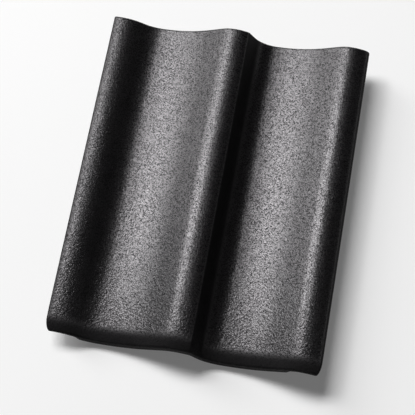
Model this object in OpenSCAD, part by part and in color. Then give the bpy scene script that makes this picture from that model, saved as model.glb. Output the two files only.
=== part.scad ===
// Double pantile: an interlocking concrete roof tile with two unequal waves, cast in one piece.
// X runs across the tile from the underlap to the cover lap, Y from the foot to the head, Z up.
// The origin is the middle of the tile's outline, on the level floor that the tile lies on.

/* [Tile] */
// Length from the foot to the head
tile_l = 420; // [380:1:440]
// Distance from one crest to the next, half of the width that a laid tile covers
wave_pitch = 150; // [146:1:160]
// Width of the side lap, where the next tile goes under this one
side_lap = 32; // [29:0.5:38]
// Height of a crest above the trough
wave_h = 31.6; // [30:0.2:35]
// Thickness of the concrete
body_t = 12; // [10:0.5:13]

/* [Wave] */
// Radius over a crest, from its top to the steep face
crest_r = 48; // [44:1:54]
// Radius over a crest on its other side, where the long rise reaches it
rise_crest_r = 30; // [26:1:36]
// Slope in degrees at which the crest turns down into the steep face
roll_angle = 20; // [16:1:26]
// Radius of that turn
knee_r = 7; // [5:0.5:12]
// Slope in degrees of the steep face, which imitates the edge of a single pantile
face_angle = 58; // [54:1:62]
// Radius at the bottom of the steep face
heel_r = 33; // [28:1:38]
// Slope in degrees of the long rise from a trough to the next crest
rise_angle = 30; // [27:0.5:32]

/* [Side lap] */
// Distance from the last crest to the right edge
cover_reach = 24; // [20:0.5:26]
// Rounding over the right edge
cover_round = 8; // [5:0.5:9]
// Air between the cover lap and the underlap of the next tile
lap_gap = 4.8; // [3:0.2:6]
// Radius over the crest of the underlap
underlap_r = 58; // [50:1:66]
// Thickness of the underlap
underlap_t = 10; // [9:0.5:11]
// Rounding over the left edge
underlap_round = 3; // [2:0.5:4]
// Rounding of the lower edges of both laps
tip_r = 2.5; // [1.5:0.25:3]

/* [Foot] */
// Depth of the foot below the wave, which beds on the tile below
foot_depth = 22; // [20:0.5:25]
// Width of the foot's front rib, measured up the tile
foot_rib_w = 12; // [8:1:18]
// Length of the rolled nose, measured up the tile
nose_l = 17; // [10:1:24]
// Drop of the rolled nose
nose_drop = 8; // [5:0.5:8]
// Rounding of the two foot corners, seen from above
corner_inset = 6; // [2:0.5:7]
// Number of weather bars behind the front rib
bar_count = 2; // [1:1:3]
// Distance from one weather bar to the next
bar_pitch = 22; // [18:1:30]
// Width of a weather bar
bar_w = 8; // [5:0.5:12]
// How far a weather bar stays above the level of the front rib
bar_relief = 2; // [1:0.5:4]
// Clearance between the foot's ribs and the laps of the tiles beside it
rib_clear = 4; // [3:0.5:10]

/* [Hanging nibs] */
// Width of a nib at its root
nib_w = 60; // [40:1:80]
// Thickness of a nib at its bottom, measured up the tile
nib_t = 12; // [9:0.5:18]
// Slope in degrees of the nib's back, to leave the mould
nib_draft = 25; // [10:1:35]
// Distance from the head to the face that hangs on the batten
nib_setback = 38; // [32:1:60]
// Distance from the bottom of the trough to the middle of its nib
nib_offset = 10; // [0:1:16]

/* [Hidden] */
waves = 2;
arc_step = 5;     // degrees turned from one point of an arc to the next
nose_steps = 5;   // sections that the rolled nose is lofted through
rib_end = 4;      // length of the slope at either end of a rib
rib_draft = 1.5;  // run of the slope at a rib's sides
nib_root = 6;     // how deep below the wave a nib starts, inside the concrete
nib_taper = 2;    // how much narrower a nib is at each side of its bottom
inner_knee_r = 1.5;  // radius of the turn below the knee
lap_steps = 5;    // points of a lap's crest
round_steps = 6;  // points of a lap's roundings
tile_w = waves * wave_pitch + side_lap;
first_crest = side_lap - cover_reach;
last_crest = first_crest + waves * wave_pitch;
underlap_h = wave_h - body_t - lap_gap;

// Points of a round stretch. Angles are slopes, positive where the outline falls to the right.
function steps(a, b) = max(1, ceil(abs(b - a) / arc_step));
function over(c, r, a, b, n, first = 0) =
    [for (i = [first:n]) let (s = a + (b - a) * i / n) c + r * [sin(s), cos(s)]];
function under(c, r, a, b, n) = over(c, -r, a, b, n);
function reversed(p) = [for (i = [len(p) - 1:-1:0]) p[i]];
function flipped(p, x) = [for (q = p) [2 * x - q.x, q.y]];
function lowered(p, d) = [for (q = p) [q.x, q.y - d]];
function distinct(p) =
    [for (i = [0:len(p) - 1]) if (i == 0 || norm(p[i] - p[max(i - 1, 0)]) > 0.01) p[i]];

// The radii r of a wave, in the order in which its outline turns: [0] over the crest, [1] round
// the knee, [2] round the heel and [3] over the next crest, where the long rise reaches it.
// Distance from a crest to the trough that its steep face leads down to
function face_flat(r) =
    (wave_h - r[0] * (1 - cos(roll_angle)) - r[1] * (cos(roll_angle) - cos(face_angle))
        - r[2] * (1 - cos(face_angle))) / sin(face_angle);
function fall_w(r) =
    r[0] * sin(roll_angle) + r[1] * (sin(face_angle) - sin(roll_angle))
        + face_flat(r) * cos(face_angle) + r[2] * sin(face_angle);

// Outline from the crest at [x, z] down its steep face to the trough
function fall(x, z, r) =
    concat(
        over([x, z - r[0]], r[0], 0, roll_angle, steps(0, roll_angle)),
        over([x, z - r[0]] + (r[0] - r[1]) * [sin(roll_angle), cos(roll_angle)], r[1],
            roll_angle, face_angle, steps(roll_angle, face_angle)),
        under([x + fall_w(r), z - wave_h + r[2]], r[2], face_angle, 0, steps(0, face_angle)));

// Outline from the trough after the crest at [x, z] up the long rise to the next crest. The
// trough's radius follows from the width and height that the rise has to cover.
function rise(x, z, r) =
    let (w = wave_pitch - fall_w(r),
        rt = (w * sin(rise_angle) - wave_h * cos(rise_angle)) / (1 - cos(rise_angle)) - r[3])
    concat(
        under([x + fall_w(r), z - wave_h + rt], rt, 0, -rise_angle, steps(0, rise_angle)),
        over([x + wave_pitch, z - r[3]], r[3], -rise_angle, 0, steps(0, rise_angle)));

// Outline from the underlap's crest, h above the trough's level z, down to the trough at x
function underlap_fall(x, z, h, rc) =
    let (w = x - first_crest, rt = (w * w + h * h) / (2 * h) - rc, a = 2 * atan(h / w))
    concat(
        over([first_crest, z + h - rc], rc, 0, a, steps(0, a)),
        under([x, z + rt], rt, a, 0, steps(0, a)));

// Outline of a lap from its crest to its free edge, which lies reach away from the crest. c is
// the centre of the crest's upper and lower arcs. The upper outline ends in a rounding, the
// lower one starts from a rounding, and both stop where the edge is upright. A rounding is
// limited by the reach.
function lap_top(c, r_out, reach, rounding) =
    let (r = min(rounding, 0.8 * reach), a = asin((reach - r) / (r_out - r)))
    concat(over(c, r_out, 0, a, lap_steps),
        over(c + (r_out - r) * [sin(a), cos(a)], r, a, 90, round_steps, 1));
function lap_low(c, r_in, reach, rounding) =
    let (r = min(rounding, 0.8 * reach), a = asin((reach - r) / (r_in + r)))
    concat(over(c, r_in, 0, a, lap_steps),
        over(c + (r_in + r) * [sin(a), cos(a)], r, 180 + a, 90, round_steps, 1));

// The upper and the lower surface, from crest to crest. The knee is nearly sharp below.
top_radii = [crest_r, knee_r, heel_r, rise_crest_r];
low_radii = [crest_r - body_t, inner_knee_r, heel_r + body_t, rise_crest_r - body_t];
function wave(z, h, r_underlap, r) =
    concat(
        underlap_fall(first_crest + fall_w(r), z - wave_h, h, r_underlap),
        rise(first_crest, z, r),
        [for (i = [1:waves - 1], x = first_crest + i * wave_pitch,
            p = concat(fall(x, z, r), rise(x, z, r))) p]);
wave_top = distinct(wave(wave_h, underlap_h, underlap_r, top_radii));
wave_low = distinct(wave(wave_h - body_t, underlap_h - underlap_t + body_t,
    underlap_r - underlap_t, low_radii));

// Height of the upper surface at x, and the wave between two places across the tile
function top_at(x) = lookup(x, wave_top);
function wave_between(a, b) =
    concat([[a, top_at(a)]], [for (p = wave_top) if (p.x > a + 0.05 && p.x < b - 0.05) p],
        [[b, top_at(b)]]);

// The lower surface with points added where the foot's ribs start and end
rib_from = side_lap + rib_clear;
rib_to = tile_w - side_lap - rib_clear;
rib_stops = [rib_from, rib_from + rib_end, rib_to - rib_end, rib_to];
low_path = [for (i = [1:len(wave_low) - 2], p = concat([wave_low[i]], [for (x = rib_stops)
    if (x > wave_low[i].x + 0.05 && x < wave_low[i + 1].x - 0.05) [x, lookup(x, wave_low)]])) p];

// The lower surface where a rib has grown to a share of its depth. A rib's lower face is the
// wave itself, so that it beds on the tile below.
function in_rib(x) = min(1, max(0, (x - rib_from) / rib_end), max(0, (rib_to - x) / rib_end));
function ribbed(depth, share) =
    [for (p = low_path)
        [p.x, p.y - share * in_rib(p.x) * max(0, p.y - top_at(p.x) + depth)]];

// The tile's upper and lower outlines from the left edge to the right one, with the top lowered
// by d and both edges moved in by q. The left edge stays clear of the underlap's crest, and the
// edges' roundings shrink with the thickness that is left.
left_crest = [first_crest, underlap_h - underlap_r];
right_crest = [last_crest, wave_h - crest_r];
function left_reach(q) = first_crest - min(q, 0.8 * first_crest);
function upper(d, q) = concat(
    reversed(flipped(lap_top(left_crest - [0, d], underlap_r, left_reach(q),
        underlap_round * (1 - d / underlap_t)), first_crest)),
    lowered([for (i = [1:len(wave_top) - 2]) wave_top[i]], d),
    lap_top(right_crest - [0, d], crest_r, cover_reach - q, cover_round * (1 - d / body_t)));
function lower(d, q, depth, share) = concat(
    reversed(flipped(lap_low(left_crest, underlap_r - underlap_t, left_reach(q),
        tip_r * (1 - d / underlap_t)), first_crest)),
    ribbed(depth, share),
    lap_low(right_crest, crest_r - body_t, cover_reach - q, tip_r * (1 - d / body_t)));

// The foot's ribs, each [from, to, depth] up the tile, and how far the one nearest to y has
// grown there
ribs = concat([[-rib_draft, foot_rib_w, foot_depth]],
    [for (i = [1:bar_count]) [i * bar_pitch, i * bar_pitch + bar_w, foot_depth - bar_relief]]);
function growth(rib, y) =
    min(1, max(0, 1 - (rib[0] - y) / rib_draft), max(0, 1 - (y - rib[1]) / rib_draft));
function rib_depth(y) = let (r = [for (rib = ribs) if (growth(rib, y) > 0) rib[2]])
    len(r) > 0 ? r[0] : 0;
function rib_share(y) = max([for (rib = ribs) growth(rib, y)]);

// The rolled nose: a quarter of an ellipse, down which the top and the corners go
function nose_fall(y) = y < nose_l ? 1 - sqrt(1 - pow(1 - y / nose_l, 2)) : 0;
function upper_at(y) = upper(nose_drop * nose_fall(y), corner_inset * nose_fall(y));
function lower_at(y) =
    lower(nose_drop * nose_fall(y), corner_inset * nose_fall(y), rib_depth(y), rib_share(y));

// The places up the tile that the body is lofted through, in order
function sorted(v) = len(v) < 2 ? v : let (m = v[0])
    concat(sorted([for (e = v) if (e < m) e]), [m], sorted([for (e = v) if (e > m) e]));
stations = sorted(concat(
    [for (i = [0:nose_steps]) nose_l * (1 - cos(90 * i / nose_steps))],
    [for (rib = ribs, y = [rib[0] - rib_draft, rib[0], rib[1], rib[1] + rib_draft])
        if (y > 0) y],
    [tile_l]));

// Extrudes a section from y to y + l
module along_y(y, l) {
    translate([0, y + l, 0]) rotate([90, 0, 0]) linear_extrude(l) children();
}

// Triangles between an upper and a lower outline, which both run from left to right. n is the
// number of points in the loop that goes out along the one and back along the other.
function zipped(up, low, n, i = 0, j = 0) =
    i == len(up) - 1 && j == len(low) - 1 ? [] :
    j == len(low) - 1 || (i < len(up) - 1 && up[i + 1].x <= low[j + 1].x)
        ? concat([[i, i + 1, n - 1 - j]], zipped(up, low, n, i + 1, j))
        : concat([[i, n - 2 - j, n - 1 - j]], zipped(up, low, n, i, j + 1));

// The body, lofted from the foot to the head
module body() {
    loops = [for (y = stations)
        [for (p = concat(upper_at(y), reversed(lower_at(y)))) [p.x, y, p.y]]];
    n = len(loops[0]);
    last = len(loops) - 1;
    polyhedron(
        points = [for (loop = loops, p = loop) p],
        faces = concat(
            zipped(upper_at(0), lower_at(0), n),
            [for (k = [0:last - 1], i = [0:n - 1])
                let (a = k * n + i, b = k * n + (i + 1) % n) [a, a + n, b + n, b]],
            [for (t = zipped(upper_at(tile_l), lower_at(tile_l), n))
                [for (i = reversed(t)) last * n + i]]));
}

// A nib below the trough at x, as deep as the foot, so that the tile lies level
module nib(x) {
    a = x + nib_offset - nib_w / 2;
    b = a + nib_w;
    y = tile_l - nib_setback;
    slope = tan(nib_draft);
    height = foot_depth - nib_root;
    intersection() {
        along_y(y, tile_l - y) polygon(concat(lowered(wave_between(a, b), nib_root),
            [[b - nib_taper, -foot_depth], [a + nib_taper, -foot_depth]]));
        translate([a, 0, 0]) rotate([90, 0, 90]) linear_extrude(nib_w)
            polygon([[y, -foot_depth], [y + nib_t, -foot_depth],
                [y + nib_t + slope * (height + wave_h), wave_h - nib_root], [y, wave_h - nib_root]]);
    }
}

module roof_tile() {
    color([0.17, 0.165, 0.17]) translate([-tile_w / 2, -tile_l / 2, foot_depth]) {
        body();
        for (i = [0:waves - 1])
            nib(first_crest + i * wave_pitch + fall_w(top_radii));
    }
}

roof_tile();
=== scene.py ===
# %% [markdown]
# # A concrete roof tile, from numbers to a finished picture
#
# A pantile of this kind is pressed from a stiff sand and cement mix, struck to its wavy section by
# a roller, cut to length, and coated black on its weather side. One casting, one piece.
#
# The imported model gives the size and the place. This lesson works the same section out again with
# numpy, much finer, gives it the relief of pressed concrete, and then finishes it with materials.
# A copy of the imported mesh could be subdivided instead, but its long flat faces would stay flat.

import bpy
import numpy as np
from mathutils import Matrix, Quaternion, Vector


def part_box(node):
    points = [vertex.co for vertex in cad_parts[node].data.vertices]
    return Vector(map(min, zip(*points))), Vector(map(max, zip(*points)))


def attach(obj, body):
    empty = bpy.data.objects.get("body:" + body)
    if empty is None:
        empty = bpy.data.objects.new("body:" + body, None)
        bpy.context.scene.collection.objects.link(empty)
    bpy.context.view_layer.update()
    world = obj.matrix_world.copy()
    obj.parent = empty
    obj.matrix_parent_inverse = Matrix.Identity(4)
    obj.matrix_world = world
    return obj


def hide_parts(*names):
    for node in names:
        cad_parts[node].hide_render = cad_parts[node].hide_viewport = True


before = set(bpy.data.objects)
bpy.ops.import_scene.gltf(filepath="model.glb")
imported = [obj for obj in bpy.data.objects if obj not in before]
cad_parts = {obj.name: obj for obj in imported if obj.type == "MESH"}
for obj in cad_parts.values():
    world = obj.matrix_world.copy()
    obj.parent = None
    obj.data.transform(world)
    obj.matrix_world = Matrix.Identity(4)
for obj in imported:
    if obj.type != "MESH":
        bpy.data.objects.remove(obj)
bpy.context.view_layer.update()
MM = 0.001

# %% [markdown]
# ## The camera
#
# The tile lies on the floor and is looked at from above its foot, a little from its right, with a
# long lens that keeps its sides nearly parallel. A camera is aimed by turning its own -Z axis
# along the line of sight; a small roll then tips the picture.

# %% Set up the camera
EYE = Vector((0.0976, -0.4870, 1.4350))
AIM = Vector((-0.0009, -0.0275, 0.038))
ROLL = 2.0
LENS, SENSOR = 104.42, 36.0
FAR_CLIP = 50.0

camera = bpy.data.objects.new("camera", bpy.data.cameras.new("camera"))
bpy.context.scene.collection.objects.link(camera)
camera.data.lens = LENS
camera.data.sensor_width = SENSOR
camera.data.clip_end = FAR_CLIP
camera.location = EYE
camera.rotation_mode = "QUATERNION"
camera.rotation_quaternion = (
    (AIM - EYE).to_track_quat("-Z", "Y").to_matrix()
    @ Matrix.Rotation(np.radians(-ROLL), 3, "Z")
).to_quaternion()
bpy.context.scene.camera = camera
print("camera distance in m:", round((AIM - EYE).length, 3))

# %% [markdown]
# ## The wave's outline
#
# The roller strikes the wave in round stretches that run into one another without a kink: over a
# crest, round the knee, down a steep face that looks like the joint of a second tile, round the
# heel into the trough, and then up a long easy rise to the next crest. A spline through picked
# points could give a similar line, but arcs that share their tangents are what the tool cuts.
#
# Each stretch is named by slopes in degrees, positive where the line falls to the right.

# %% The tile's sizes in millimetres, and its slopes in degrees
LENGTH, PITCH, SIDE_LAP = 420.0, 150.0, 32.0
WAVE_H, BODY_T = 31.6, 12.0
CREST_R, KNEE_R, HEEL_R, RISE_CREST_R, INNER_KNEE_R = 48.0, 7.0, 33.0, 30.0, 1.5
CREST_ROLL, FACE, RISE = 20.0, 58.0, 30.0
COVER_REACH, COVER_ROUND, LAP_GAP = 24.0, 8.0, 4.8
UNDERLAP_R, UNDERLAP_T, UNDERLAP_ROUND, TIP_R = 58.0, 10.0, 3.0, 2.5
CREST_X = SIDE_LAP - COVER_REACH + PITCH * np.arange(3)
UNDERLAP_H = WAVE_H - BODY_T - LAP_GAP
print("crests at", CREST_X, "mm, underlap", round(UNDERLAP_H, 2), "mm high")

# %% Round and straight stretches
STRETCH_POINTS = 60
SHARE = np.linspace(0, 1, STRETCH_POINTS)


def sin(degrees):
    """The sine of an angle in degrees."""
    return np.sin(np.radians(degrees))


def cos(degrees):
    """The cosine of an angle in degrees."""
    return np.cos(np.radians(degrees))


def turn(x, z, radius, start, stop, share):
    """A round stretch: the circle's centre plus its radius, turned from the start slope to the
    stop slope by a share of the way. A negative radius gives a hollow stretch."""
    slope = start + (stop - start) * share
    return np.stack(np.broadcast_arrays(x + radius * sin(slope), z + radius * cos(slope)), -1)


def straight(start, stop):
    """A straight stretch: the first point plus a share of the way to the second."""
    return start + (stop - start) * SHARE[:, None]


print("each stretch has", STRETCH_POINTS, "points")

# %% From a crest down to a trough


def face_length(crest, knee, heel):
    """The straight face's length: the height that the three arcs leave over, divided by the sine
    of the face's slope."""
    arcs = crest * (1 - cos(CREST_ROLL)) + knee * (cos(CREST_ROLL) - cos(FACE))
    return (WAVE_H - arcs - heel * (1 - cos(FACE))) / sin(FACE)


def fall_width(crest, knee, heel):
    """From a crest to the bottom of the trough on its right: the widths of its stretches, added."""
    arcs = crest * sin(CREST_ROLL) + knee * (sin(FACE) - sin(CREST_ROLL)) + heel * sin(FACE)
    return arcs + face_length(crest, knee, heel) * cos(FACE)


def fall(x, z, crest, knee, heel):
    """Over the crest at x, round the knee, down the face and round the heel."""
    over = turn(x, z - crest, crest, 0, CREST_ROLL, SHARE)
    bend = turn(x + (crest - knee) * sin(CREST_ROLL), z - crest + (crest - knee) * cos(CREST_ROLL),
                knee, CREST_ROLL, FACE, SHARE)
    hollow = turn(x + fall_width(crest, knee, heel), z - WAVE_H + heel, -heel, FACE, 0, SHARE)
    return [over, bend, straight(bend[-1], hollow[0]), hollow]


def underlap_fall(bottom, z, height, radius):
    """From the low crest of the left lap down to the first trough: two arcs of one angle, whose
    radii together cover the width and the height."""
    width = bottom - CREST_X[0]
    trough = (width**2 + height**2) / (2 * height) - radius
    angle = np.degrees(2 * np.arctan(height / width))
    return [turn(CREST_X[0], z + height - radius, radius, 0, angle, SHARE),
            turn(bottom, z + trough, -trough, angle, 0, SHARE)]


TROUGH_X = CREST_X[:2] + fall_width(CREST_R, KNEE_R, HEEL_R)
print("trough bottoms at", np.round(TROUGH_X, 2), "mm")

# %% Up to the next crest, and the whole wave


def rise(bottom, x, z, crest):
    """From the trough's bottom up to the next crest, at x. The trough's radius is the one with
    which both arcs and the straight between them just cover the width and the height."""
    width = x - bottom
    trough = (width * sin(RISE) - WAVE_H * cos(RISE)) / (1 - cos(RISE)) - crest
    hollow = turn(bottom, z - WAVE_H + trough, -trough, 0, -RISE, SHARE)
    over = turn(x, z - crest, crest, -RISE, 0, SHARE)
    return [hollow, straight(hollow[-1], over[0]), over]


def wave(z, height, underlap, radii, rise_crest):
    """The whole line from the left lap's crest to the right lap's crest, stretch by stretch."""
    bottoms = CREST_X[:2] + fall_width(*radii)
    parts = underlap_fall(bottoms[0], z - WAVE_H, height, underlap)
    parts += rise(bottoms[0], CREST_X[1], z, rise_crest)
    parts += fall(CREST_X[1], z, *radii) + rise(bottoms[1], CREST_X[2], z, rise_crest)
    return np.concatenate(parts)


top_line = wave(WAVE_H, UNDERLAP_H, UNDERLAP_R, (CREST_R, KNEE_R, HEEL_R), RISE_CREST_R)
low_line = wave(WAVE_H - BODY_T, UNDERLAP_H - UNDERLAP_T + BODY_T, UNDERLAP_R - UNDERLAP_T,
                (CREST_R - BODY_T, INNER_KNEE_R, HEEL_R + BODY_T), RISE_CREST_R - BODY_T)
print("points in the line:", len(top_line))

# %% [markdown]
# ## Stations across and along the tile
#
# A surface on a grid needs two lists of stations. Across, they are spaced evenly along the wave,
# and extra ones stand where a rib or a nib starts, so that those edges come out crisp. The
# lower side takes every second station, because it is seen less. Along the tile they stand
# closer at the rolled nose, the ribs, the nibs and the cut head.

# %% Sizes of the foot, the ribs and the nibs, in millimetres
NOSE_L, NOSE_DROP, CORNER_INSET, ARRIS = 17.0, 8.0, 6.0, 1.0
FOOT_RIB, FOOT_DEPTH, BAR_DEPTH = 12.0, 22.0, 20.0
RIB_DRAFT, RIB_END, RIB_ROOM = 1.5, 4.0, 4.0
RIB_FROM, RIB_TO = SIDE_LAP + RIB_ROOM, 2 * PITCH - RIB_ROOM
RIBS = np.array([[-RIB_DRAFT, FOOT_RIB, FOOT_DEPTH],  # each rib's start, end and depth
                 [22.0, 30.0, BAR_DEPTH],
                 [44.0, 52.0, BAR_DEPTH]])
NIB_W, NIB_T, NIB_DRAFT, NIB_ROOT, NIB_TAPER, NIB_ROUND = 60.0, 12.0, 25.0, 6.0, 2.0, 1.5
NIB_FROM_HEAD, NIB_ASIDE = 38.0, 10.0
NIB_Y = LENGTH - NIB_FROM_HEAD
NIB_X = TROUGH_X + NIB_ASIDE - NIB_W / 2
print("nibs start at", np.round(NIB_X, 2), "mm across and", NIB_Y, "mm up the tile")

# %% Stations across
STEP_ACROSS = 3.1


def stations(stops, step):
    """Every stop, and between two stops as many even steps as keep each below the given one."""
    stops = np.unique(np.round(stops, 4))
    counts = np.ceil(np.diff(stops) / step).astype(int)
    parts = [np.linspace(start, stop, count, endpoint=False)
             for start, stop, count in zip(stops, stops[1:], counts)]
    return np.append(np.concatenate(parts), stops[-1])


travelled = np.append(0, np.cumsum(np.hypot(*np.diff(top_line, axis=0).T)))
rib_marks = [RIB_FROM, RIB_FROM + RIB_END, RIB_TO - RIB_END, RIB_TO]
nib_marks = [0, NIB_TAPER, NIB_TAPER + NIB_ROUND,
             NIB_W - NIB_TAPER - NIB_ROUND, NIB_W - NIB_TAPER, NIB_W]
marks = np.append(rib_marks, NIB_X[:, None] + nib_marks)
across_low = stations(np.append([0, travelled[-1]],
                                np.interp(marks, low_line[:, 0], travelled)), STEP_ACROSS)
halfway = (across_low[:-1] + across_low[1:]) / 2
across_top = np.append(np.stack([across_low[:-1], halfway], 1), travelled[-1])
print(len(across_top), "stations across the top,", len(across_low), "below")

# %% Stations along
STEP_ALONG = 2.15
ARRIS_STOPS, NOSE_STOPS = 4, 12


def crowded(length, count):
    """Stops that crowd towards the edge: the length times one minus the cosine of even turns."""
    return length * (1 - cos(np.linspace(0, 90, count)))


arris = crowded(ARRIS, ARRIS_STOPS)
nose = crowded(NOSE_L, NOSE_STOPS)
rib_stops = (RIBS[:, :2, None] + RIB_DRAFT * np.array([-1, -0.5, 0, 0.5, 1])).ravel()
nib_stops = NIB_Y + np.array([-0.5, 0, 0.5, NIB_ROUND,  # its front edge
                              NIB_T - NIB_ROUND, NIB_T, NIB_T + 2.5, NIB_T + 6])  # its back
along = stations(np.concatenate([arris, nose, rib_stops[rib_stops > 0], nib_stops,
                                 LENGTH - arris]), STEP_ALONG)
y = along[:, None]
print(len(along), "stations along")

# %% [markdown]
# ## The two skins
#
# The upper skin is the wave with a lap on each side, and the lower skin is the same line one
# thickness below. Both are functions of two parameters, the station across and the station
# along. At the foot the upper skin rolls over in a quarter of an ellipse, as the pressed nose of
# the real tile does, and both corners move in with it.

# %% The roll of the nose, and the softened edges
EASE_ASIDE = 0.5  # an edge comes in half as far on the laps


def quarter_round(distance, radius):
    """How far a quarter round has still to come in, as a share of its radius: one minus the root
    of one minus the square of the share of the radius that is left at this distance."""
    return 1 - np.sqrt(1 - np.clip(1 - distance / radius, 0, 1) ** 2)


def eased(share):
    """A share that starts and ends gently: its square, times three less twice the share."""
    return share * share * (3 - 2 * share)


rolled = quarter_round(y, NOSE_L)
head_ease = ARRIS * quarter_round(LENGTH - y, ARRIS)
foot_ease = ARRIS * quarter_round(y, ARRIS)
fall_top = NOSE_DROP * rolled + head_ease
inset = CORNER_INSET * rolled + head_ease * EASE_ASIDE
print("the nose drops", round(float(fall_top.max()), 2), "mm")

# %% Laps
LAP_STEPS, ROUND_STEPS = 10, 8
UPPER, LOWER = 1, -1


def lap(side, x, z, radius, out_to, rounding, lap_steps, round_steps):
    """A lap's line, out from its crest: the crest's own arc, then a smaller one that meets it
    without a kink and ends upright at the free edge. The small circle lies inside the big one
    on the upper side, and outside it on the lower side. Where they meet, the slope's sine is
    the reach less the small radius, divided by the distance between the two centres."""
    centre = radius - side * rounding
    slope = np.degrees(np.arcsin((out_to - rounding) / centre))
    start = slope if side == UPPER else 180 + slope
    first = turn(x, z, radius, 0, slope, np.linspace(0, 1, lap_steps + 1))
    second = turn(x + centre * sin(slope), z + centre * cos(slope), rounding,
                  start, 90, np.linspace(0, 1, round_steps + 1)[1:])
    return np.concatenate([first, second], 1)


def mirrored(line, x):
    """The line turned about the upright through x, so that a right lap becomes a left one: a
    point's new x is twice this x less its old one."""
    return np.stack([2 * x - line[..., 0], line[..., 1]], -1)[:, ::-1]


def across_wave(line, at):
    """The wave's points at the given stations: x and z read off its dense line."""
    return np.stack([np.interp(at, travelled, line[:, 0]), np.interp(at, travelled, line[:, 1])], -1)


print("a lap has", LAP_STEPS + ROUND_STEPS, "steps on the upper side")

# %% The upper skin
top_x, top_z = across_wave(top_line, across_top)[1:-1].T
underlap = lap(UPPER, CREST_X[0], UNDERLAP_H - UNDERLAP_R - fall_top, UNDERLAP_R,
               CREST_X[0] - inset, UNDERLAP_ROUND * (1 - fall_top / UNDERLAP_T),
               LAP_STEPS, ROUND_STEPS)
cover = lap(UPPER, CREST_X[2], WAVE_H - CREST_R - fall_top, CREST_R,
            COVER_REACH - inset, COVER_ROUND * (1 - fall_top / BODY_T), LAP_STEPS, ROUND_STEPS)
middle = np.stack(np.broadcast_arrays(top_x, top_z - fall_top), -1)
upper = np.concatenate([mirrored(underlap, CREST_X[0]), middle, cover], 1)
print("upper skin:", upper.shape)

# %% [markdown]
# ## The lower skin, with its ribs and nibs
#
# Under the foot stand ribs whose lower faces follow the wave, so that they bed on the tile below
# and keep driven rain out. Under the head two nibs hang on the roof batten. All of them are
# cast with the body, so here they are the lower skin itself, pressed further down where they
# stand. They could be separate blocks pushed into the body, but then the seam would show.

# %% The ribs, pressed out of the lower skin
low_x, low_z = across_wave(low_line, across_low)[1:-1].T
above = np.interp(low_x, top_line[:, 0], top_line[:, 1])
into = np.minimum(y - RIBS[:, 0] + RIB_DRAFT, RIBS[:, 1] + RIB_DRAFT - y)
grown = np.clip(into / RIB_DRAFT, 0, 1)
rib_share = eased(grown).max(1)[:, None]
rib_depth = RIBS[grown.argmax(1), 2][:, None]
over_rib = eased(np.clip(np.minimum(low_x - RIB_FROM, RIB_TO - low_x) / RIB_END, 0, 1))
ribbed = low_z - rib_share * over_rib * np.maximum(0, low_z - above + rib_depth)
print("ribs reach down to", round(float(ribbed.min()), 2), "mm")

# %% The nibs, pressed out in the same way
HAIR = 1e-6


def nib_face(left):
    """The height of a nib's lower face: as deep as the front rib, and higher where its sides
    taper, where its back slopes up behind it, and at its rounded edges."""
    root = np.interp([left, left + NIB_W], top_line[:, 0], top_line[:, 1]) - NIB_ROOT + FOOT_DEPTH
    side = np.maximum((left + NIB_TAPER - low_x) / NIB_TAPER * root[0],
                      (low_x - left - NIB_W + NIB_TAPER) / NIB_TAPER * root[1])
    back = np.maximum(0, (y - NIB_Y - NIB_T) / np.tan(np.radians(NIB_DRAFT)))
    inside = np.minimum(np.minimum(low_x - left - NIB_TAPER, left + NIB_W - NIB_TAPER - low_x),
                        np.minimum(y - NIB_Y, NIB_Y + NIB_T - y))
    soft = NIB_ROUND * quarter_round(inside, NIB_ROUND) * (inside > -HAIR)
    face = -FOOT_DEPTH + np.maximum(np.maximum(side, back), 0) + soft
    return np.where(y < NIB_Y - HAIR, np.inf, face)


pressed = np.minimum(ribbed, np.minimum(nib_face(NIB_X[0]), nib_face(NIB_X[1])))
print("nibs reach down to", round(float(pressed.min()), 2), "mm")

# %% The lower skin
lift = head_ease + foot_ease
underlap = lap(LOWER, CREST_X[0], UNDERLAP_H - UNDERLAP_R + lift * EASE_ASIDE,
               UNDERLAP_R - UNDERLAP_T, CREST_X[0] - inset, TIP_R * (1 - fall_top / UNDERLAP_T),
               LAP_STEPS // 2, ROUND_STEPS // 2)
cover = lap(LOWER, CREST_X[2], WAVE_H - CREST_R + lift * EASE_ASIDE,
            CREST_R - BODY_T, COVER_REACH - inset, TIP_R * (1 - fall_top / BODY_T),
            LAP_STEPS // 2, ROUND_STEPS // 2)
middle = np.stack(np.broadcast_arrays(low_x, pressed + lift), -1)
lower = np.concatenate([mirrored(underlap, CREST_X[0]), middle, cover], 1)
print("lower skin:", lower.shape)

# %% [markdown]
# ## One closed body
#
# A section is a ring: out along the upper skin, back along the lower one. Every ring joins the
# next with four-sided faces, and a flat cap closes each end. The lower skin has half as many
# steps, so a cap has three triangles for each of them.

# %% The ring grid
ring = np.concatenate([upper, lower[:, ::-1]], 1)
points = np.stack([ring[..., 0], np.broadcast_to(y, ring.shape[:2]), ring[..., 1]], -1)
ROWS, RING = points.shape[:2]
TOP = upper.shape[1]
print("rings:", ROWS, "points in each:", RING)


def outward(grid):
    """The direction that points out of the surface at each point: the cross product of the step
    round the ring and the step along the tile, made one long."""
    round_ring = np.roll(grid, -1, 1) - np.roll(grid, 1, 1)
    forward = np.gradient(grid, axis=0)
    out = np.cross(round_ring, forward)
    return out / np.linalg.norm(out, axis=-1, keepdims=True)


normals = outward(points)
print("upper side points up:", bool(normals[ROWS // 2, TOP // 2, 2] > 0))

# %% [markdown]
# ## Relief of pressed concrete
#
# The coating levels the sand but not the lumps that the roller leaves: shallow swells 3 to 10 mm
# wide, longer than wide because the wet mix is drawn along the tile. They grow towards the foot,
# where the mix is pressed into the nose. Relief of this size has to be in the mesh, as it moves
# the highlights; the sand grain is finer and comes from the material's bump. The swells only go
# inwards, so the tile keeps its size.

# %% Swells in the surface


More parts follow.
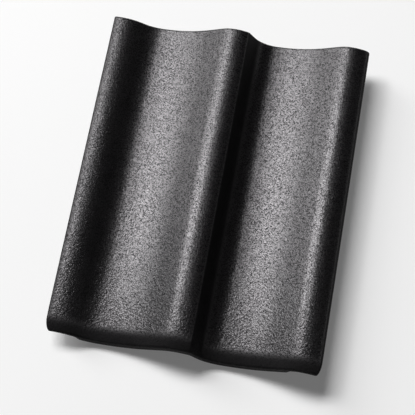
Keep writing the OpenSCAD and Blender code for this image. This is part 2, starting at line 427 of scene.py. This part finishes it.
def swells(across, lengthwise, wide, long, seed):
    """Smooth relief from 0 to 1: seeded random heights on a net of knots, and between the knots
    a blend with an eased share in both directions."""
    u, v = across / wide, lengthwise / long
    i, j = np.floor(u).astype(int), np.floor(v).astype(int)
    u, v = eased(u - i), eased(v - j)
    net = np.random.default_rng(seed).random((i.max() + 2, j.max() + 2))
    near = net[i, j] * (1 - v) + net[i, j + 1] * v
    far = net[i + 1, j] * (1 - v) + net[i + 1, j + 1] * v
    return near * (1 - u) + far * u


ROUND_SLANT, LONG_SLANT = 0.35, 0.2  # slanted nets hide their own rows
way_round = np.append(0, np.cumsum(np.linalg.norm(np.diff(points[ROWS // 2], axis=0), axis=-1)))
around, up_tile = np.broadcast_arrays(way_round[None, :] + ROUND_SLANT * y, y)
slanted = up_tile + LONG_SLANT * around
relief = (0.50 * swells(around, slanted, 4.6, 7.5, seed=3)
          + 0.30 * swells(around + 2, up_tile, 9.5, 17, seed=4)
          + 0.20 * swells(around, up_tile + 3, 3.3, 4.4, seed=5))
print("relief from", round(float(relief.min()), 2), "to", round(float(relief.max()), 2))

# %% How deep the swells are
SWELL_DEPTH, FLAT_EDGE = 0.12, 4.0
AT_HEAD, MORE_AT_FOOT, FOOT_STRETCH = 0.75, 1.15, 150.0

growing = AT_HEAD + MORE_AT_FOOT * np.clip(1 - up_tile / FOOT_STRETCH, 0, 1)
edge = np.minimum(np.minimum(up_tile, LENGTH - up_tile) / FLAT_EDGE, 1)
pressed_in = SWELL_DEPTH * growing * relief * edge
points = points - normals * pressed_in[..., None]
print("pressed in by up to", round(float(pressed_in.max()), 3), "mm")

# %% Faces
here = (np.arange(ROWS - 1) * RING)[:, None] + np.arange(RING)
beside = (np.arange(ROWS - 1) * RING)[:, None] + (np.arange(RING) + 1) % RING
quads = np.stack([here, here + RING, beside + RING, beside], -1).reshape(-1, 4)

step = np.arange((TOP - 1) // 2)
below = RING - 1 - step
cap = np.concatenate([np.stack([2 * step, 2 * step + 1, below], 1),
                      np.stack([2 * step + 1, below - 1, below], 1),
                      np.stack([2 * step + 1, 2 * step + 2, below - 1], 1)])
tris = np.concatenate([cap, cap[:, ::-1] + (ROWS - 1) * RING])
print("four-sided faces:", len(quads), "and triangles in the caps:", len(tris))

# %% The mesh
SHARP_ANGLE = 50.0


def put_in_mesh(name, at, quads, tris):
    """Fills a mesh from arrays: all points, then all corners in one row, and for each face the
    place in that row at which its corners start."""
    mesh = bpy.data.meshes.new(name)
    mesh.vertices.add(at.size // 3)
    mesh.vertices.foreach_set("co", (at * MM).astype(np.float32).ravel())
    corners = np.concatenate([quads.ravel(), tris.ravel()]).astype(np.int32)
    starts = np.append(4 * np.arange(len(quads)), 4 * len(quads) + 3 * np.arange(len(tris)))
    mesh.loops.add(len(corners))
    mesh.loops.foreach_set("vertex_index", corners)
    mesh.polygons.add(len(starts))
    mesh.polygons.foreach_set("loop_start", starts.astype(np.int32))
    mesh.update(calc_edges=True)
    mesh.validate()
    return mesh


lowest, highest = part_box("roof_tile")
to_place = np.array([lowest.x / MM, lowest.y / MM, highest.z / MM - WAVE_H])
tile_mesh = put_in_mesh("tile", points + to_place, quads, tris)
tile_mesh.shade_smooth()
tile_mesh.set_sharp_from_angle(angle=np.radians(SHARP_ANGLE))
tile = bpy.data.objects.new("tile", tile_mesh)
bpy.context.scene.collection.objects.link(tile)
print("triangles:", 2 * len(quads) + len(tris))

# %% [markdown]
# ## Where the coating reaches
#
# The coating is sprayed from above. It covers the weather side and the free edges, mists a
# little way round under them, and leaves the underside bare. Less of it lands on faces that
# stand steep, round the nose and on the rims, and there the film is thin and dry, with little
# sheen. Two numbers kept at each point, how coated and how dry, tell the material which finish
# it is on. Painted masks could do the same, but these follow the shape when it changes.

# %% The coating's reach
MIST_START, MIST_REACH = 1.25, 9.0


def keep_at_points(name, values):
    """Stores one number for each point of the tile, under a name that a material can ask for."""
    layer = tile_mesh.attributes.new(name, "FLOAT", "POINT")
    layer.data.foreach_set("value", values.astype(np.float32).ravel())


from_side = np.minimum(points[..., 0], 2 * PITCH + SIDE_LAP - points[..., 0])
from_rim = np.minimum(from_side, np.minimum(up_tile, LENGTH - up_tile))
misted = np.clip(MIST_START - from_rim / MIST_REACH, 0, 1)
coat = np.where(np.arange(RING) < TOP, 1.0, misted)
keep_at_points("coat", coat)
print("coated share of the points:", round(float((coat > 0.5).mean()), 2))

# %% The dry film
STEEP, NOT_STEEP = 0.70, 0.87  # how far up the surface points, from 0 to 1
DRY_NOSE, NOSE_FADE, RIM_FADE = 22.0, 14.0, 7.0
ON_NOSE, ON_RIM = 0.85, 0.55

upright = 1 - np.clip((normals[..., 2] - STEEP) / (NOT_STEEP - STEEP), 0, 1)
at_nose = np.clip((DRY_NOSE - up_tile) / NOSE_FADE, 0, 1)
at_rim = np.clip(1 - from_side / RIM_FADE, 0, 1)
dry_film = np.maximum(np.maximum(upright, ON_RIM * at_rim), ON_NOSE * eased(at_nose))
keep_at_points("dry", dry_film)
print("dry share of the coated points:", round(float((dry_film[coat > 0.5] > 0.5).mean()), 2))

# %% [markdown]
# ## The finish
#
# Black satin coating over sandy concrete. It is nearly black in itself; all the greys that it
# shows are light on its sheen. The sand below breaks the sheen up in two ways. One is relief:
# fine sand, coarser grains towards the foot, and pinholes where air came out. The other is grains
# that drank the film and stayed matt. A Voronoi texture cuts the surface into cells about a
# millimetre wide, and each cell's own random colour says how matt its grain is. An image could
# carry all of this too, but a pattern in the piece's own space has no seams and no repeats.

# %% Helpers that make nodes


def feed(tree, socket, value):
    """Gives a socket a plain value, or links another node's output to it."""
    if isinstance(value, bpy.types.NodeSocket):
        tree.links.new(value, socket)
    else:
        socket.default_value = value


def node(tree, kind, **sockets):
    """A new node of a kind, with its sockets fed by name. An underscore stands for a space, and
    _0, _1 and so on for a socket's place where names repeat."""
    made = tree.nodes.new(kind)
    for name, value in sockets.items():
        key = int(name[1:]) if name[0] == "_" else name.replace("_", " ")
        feed(tree, made.inputs[key], value)
    return made


print("first helpers:", feed.__name__, "and", node.__name__)

# %% Helpers for sums, ranges, colours and patterns


def maths(tree, how, first, second):
    """Two values put together, by MULTIPLY, ADD, SUBTRACT or MAXIMUM."""
    made = node(tree, "ShaderNodeMath", _0=first, _1=second)
    made.operation = how
    return made.outputs[0]


def from_to(tree, value, low_in, high_in, low_out=0.0, high_out=1.0):
    """Maps a value from one range to another, and holds it inside that one."""
    return node(tree, "ShaderNodeMapRange", Value=value, From_Min=low_in, From_Max=high_in,
                To_Min=low_out, To_Max=high_out).outputs["Result"]


def blend(tree, share, first, second):
    """A colour between two, by share."""
    made = tree.nodes.new("ShaderNodeMix")
    made.data_type = "RGBA"
    feed(tree, made.inputs["Factor"], share)
    feed(tree, made.inputs[6], first)
    feed(tree, made.inputs[7], second)
    return made.outputs[2]


def noise(tree, place, scale, detail):
    """Cloudy noise from 0 to 1, with so many clouds to a metre."""
    return node(tree, "ShaderNodeTexNoise", Vector=place, Scale=scale,
                Detail=detail).outputs["Fac"]


def kept(tree, name):
    """The number that the mesh keeps at its points under a name."""
    made = node(tree, "ShaderNodeAttribute")
    made.attribute_name = name
    return made.outputs["Fac"]


def grey(level):
    """A colour with red, green and blue at one level."""
    return (level, level, level, 1.0)


print("a grey for the nodes:", grey(0.5))

# %% Patterns in the finish
CELLS, SAND, PITS, GRAINS, DRIFT = 940.0, 900.0, 640.0, 380.0, 60.0  # to a metre
SHINY_CELLS, FULLY_DULL = 0.2, 1.0  # a fifth of the cells keep their shine
PIT_STARTS, PIT_FULL = 0.50, 0.80
FOOT_Y, FIELD_Y = -0.20, -0.07  # in metres

finish = bpy.data.materials.new("coated_concrete")
finish.use_nodes = True
tree = finish.node_tree
shader = tree.nodes["Principled BSDF"]
place = tree.nodes.new("ShaderNodeTexCoord").outputs["Object"]
cells = node(tree, "ShaderNodeTexVoronoi", Vector=place, Scale=CELLS).outputs["Color"]
chance = node(tree, "ShaderNodeSeparateColor", Color=cells).outputs[0]
dull = from_to(tree, chance, SHINY_CELLS, FULLY_DULL)
sand = noise(tree, place, SAND, 1.0)
grains = noise(tree, place, GRAINS, 1.0)
drift = noise(tree, place, DRIFT, 3.0)
pits = from_to(tree, noise(tree, place, PITS, 1.0), PIT_STARTS, PIT_FULL)
y_on_tile = node(tree, "ShaderNodeSeparateXYZ", Vector=place).outputs["Y"]
near_foot = from_to(tree, y_on_tile, FOOT_Y, FIELD_Y, 1.0, 0.0)
near_foot = maths(tree, "MULTIPLY", near_foot, near_foot)
print("matt grains about", round(1 / (CELLS * MM), 2), "mm wide")

# %% The colour, coated and bare
BLACKS = (0.0045, 0.0043, 0.0046, 1.0), (0.0065, 0.0062, 0.0066, 1.0)
BARES = (0.036, 0.035, 0.036, 1.0), (0.062, 0.060, 0.060, 1.0)
RAGGED, FILM_STARTS, FILM_FULL = 0.5, 0.65, 0.85

ragged_coat = maths(tree, "ADD", kept(tree, "coat"), maths(tree, "MULTIPLY", grains, RAGGED))
spray = from_to(tree, ragged_coat, FILM_STARTS, FILM_FULL)
black = blend(tree, from_to(tree, drift, 0.35, 0.65), *BLACKS)
bare = blend(tree, from_to(tree, grains, 0.35, 0.7), *BARES)
feed(tree, shader.inputs["Base Color"], blend(tree, spray, bare, black))
print("nodes so far:", len(tree.nodes))

# %% The sheen
SATIN, WORN_SATIN, BARE_ROUGH = 0.278, 0.286, 0.88
DULL_ADDS, FOOT_ADDS, DRY_ADDS = 0.04, 0.10, 0.55
FULL_SHEEN, MATT_SHEEN = (1.0, 0.97, 1.0, 1.0), (0.10, 0.097, 0.10, 1.0)
SHEEN_LEVEL = 0.85

dry = kept(tree, "dry")
rough = from_to(tree, drift, 0.3, 0.7, SATIN, WORN_SATIN)
for pattern, amount in ((dull, DULL_ADDS), (near_foot, FOOT_ADDS), (dry, DRY_ADDS)):
    rough = maths(tree, "ADD", rough, maths(tree, "MULTIPLY", pattern, amount))
rough = maths(tree, "MAXIMUM", rough, from_to(tree, spray, 0.0, 1.0, BARE_ROUGH, 0.0))
feed(tree, shader.inputs["Roughness"], rough)
matt = maths(tree, "MAXIMUM", dull, dry)
feed(tree, shader.inputs["Specular Tint"], blend(tree, matt, FULL_SHEEN, MATT_SHEEN))
shader.inputs["Specular IOR Level"].default_value = SHEEN_LEVEL
print("roughness of the satin:", SATIN, "and of the bare concrete:", BARE_ROUGH)

# %% The fine relief
SAND_H, PIT_H, GRAIN_H_HEAD, GRAIN_H_FOOT = 0.18, 0.12, 0.08, 0.75  # in millimetres

coarse = from_to(tree, near_foot, 0.0, 1.0, GRAIN_H_HEAD, GRAIN_H_FOOT)
height = maths(tree, "ADD", maths(tree, "MULTIPLY", sand, SAND_H),
               maths(tree, "MULTIPLY", grains, coarse))
height = maths(tree, "SUBTRACT", height, maths(tree, "MULTIPLY", pits, PIT_H))
bump = node(tree, "ShaderNodeBump", Strength=1.0, Distance=MM, Height=height)
feed(tree, shader.inputs["Normal"], bump.outputs["Normal"])
print("nodes in the finish:", len(tree.nodes))

# %% The finish goes on the tile
tile_mesh.materials.append(finish)
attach(tile, "root")
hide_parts("roof_tile")
print("finishes on the tile:", len(tile_mesh.materials))

# %% [markdown]
# ## Floor and light
#
# A pale sweep of paper, and two soft boxes seven metres away. The key hangs high, behind the
# tile and to its left, where the crests and the trough bottoms mirror it towards the camera. It
# is turned about its own axis, so that its edge runs along the waves in the mirror. The second
# stands lower and further left, and is mirrored by the rising flanks. Nothing stands on the
# right, so the steep faces stay black, and that is what draws the wave.
#
# The paper glows a little, and the world has a pale wall round the horizon, but only for rays
# that come from the camera, from a mirroring surface or through glass. So the ground is light,
# the tile's sheen mirrors a light room, and the paper keeps the tile's shadow, because neither
# sheds any light. Stronger lamps would lift the ground too, but they would bleach the tile.

# %% The floor
HALF_FLOOR = 12.0
PAPER, PAPER_FLECK, PAPER_GLOW, PAPER_ROUGH = 0.85, 0.87, 0.14, 0.9
FLECKS = 3.0  # to a metre


def looked_at(tree):
    """One for a ray from the camera, from a mirroring surface or through glass, and nought for
    the light that falls on things: the largest of three answers."""
    path = tree.nodes.new("ShaderNodeLightPath").outputs
    in_mirror = maths(tree, "MAXIMUM", path["Is Glossy Ray"], path["Is Transmission Ray"])
    return maths(tree, "MAXIMUM", path["Is Camera Ray"], in_mirror)


paper = bpy.data.materials.new("paper")
paper.use_nodes = True
sheet = paper.node_tree
sheet_shader = sheet.nodes["Principled BSDF"]
fleck = noise(sheet, sheet.nodes.new("ShaderNodeTexCoord").outputs["Object"], FLECKS, 2.0)
feed(sheet, sheet_shader.inputs["Base Color"], blend(sheet, fleck, grey(PAPER), grey(PAPER_FLECK)))
glow = maths(sheet, "MULTIPLY", looked_at(sheet), PAPER_GLOW)
feed(sheet, sheet_shader.inputs["Emission Strength"], glow)
sheet_shader.inputs["Emission Color"].default_value = grey(1.0)
sheet_shader.inputs["Roughness"].default_value = PAPER_ROUGH
sheet_shader.inputs["Specular IOR Level"].default_value = 0.0

floor_mesh = bpy.data.meshes.new("floor")
floor_mesh.from_pydata([(-HALF_FLOOR, -HALF_FLOOR, 0), (HALF_FLOOR, -HALF_FLOOR, 0),
                        (HALF_FLOOR, HALF_FLOOR, 0), (-HALF_FLOOR, HALF_FLOOR, 0)],
                       [], [(0, 1, 2, 3)])
floor_mesh.materials.append(paper)
floor = bpy.data.objects.new("floor", floor_mesh)
bpy.context.scene.collection.objects.link(floor)
print("floor is", floor.dimensions.x, "m wide")

# %% The soft boxes
LAMP_AWAY = 7.0


def soft_box(name, azimuth, elevation, turned, width, length, watts):
    """A rectangular lamp that faces the tile. Its direction is given by two angles in degrees,
    round the tile from +X and up from the floor; a third turns it about its own axis."""
    lamp = bpy.data.objects.new(name, bpy.data.lights.new(name, "AREA"))
    lamp.data.shape = "RECTANGLE"
    lamp.data.size = width
    lamp.data.size_y = length
    lamp.data.energy = watts
    way = Vector((cos(elevation) * cos(azimuth), cos(elevation) * sin(azimuth), sin(elevation)))
    lamp.location = way * LAMP_AWAY
    lamp.rotation_mode = "QUATERNION"
    lamp.rotation_quaternion = (way.to_track_quat("Z", "Y")
                                @ Quaternion((0, 0, 1), np.radians(turned)))
    bpy.context.scene.collection.objects.link(lamp)
    return lamp


key = soft_box("key", azimuth=139.0, elevation=58.5, turned=-29.0,
               width=3.9, length=1.8, watts=378.0)
side = soft_box("side", azimuth=152.3, elevation=36.8, turned=0.0,
                width=2.1, length=4.2, watts=210.0)
print("key and side lamp:", key.data.energy, "W and", side.data.energy, "W")

# %% The world
DIM, WALL = 0.02, 0.88
WALL_TOP, WALL_GONE = 0.15, 0.27  # how far up a ray points, from 0 to 1

world = bpy.data.worlds.new("studio")
bpy.context.scene.world = world
world.use_nodes = True
sky = world.node_tree
dim = sky.nodes["Background"]
dim.inputs["Color"].default_value = grey(DIM)
wall = node(sky, "ShaderNodeBackground", Color=grey(WALL))
ray = sky.nodes.new("ShaderNodeTexCoord").outputs["Generated"]
up = node(sky, "ShaderNodeSeparateXYZ", Vector=ray).outputs["Z"]
near_horizon = from_to(sky, up, WALL_TOP, WALL_GONE, 1.0, 0.0)
mix = node(sky, "ShaderNodeMixShader", _0=maths(sky, "MULTIPLY", near_horizon, looked_at(sky)),
           _1=dim.outputs[0], _2=wall.outputs[0])
feed(sky, sky.nodes["World Output"].inputs["Surface"], mix.outputs[0])
bpy.context.scene.view_settings.view_transform = "Standard"
print("view transform:", bpy.context.scene.view_settings.view_transform)
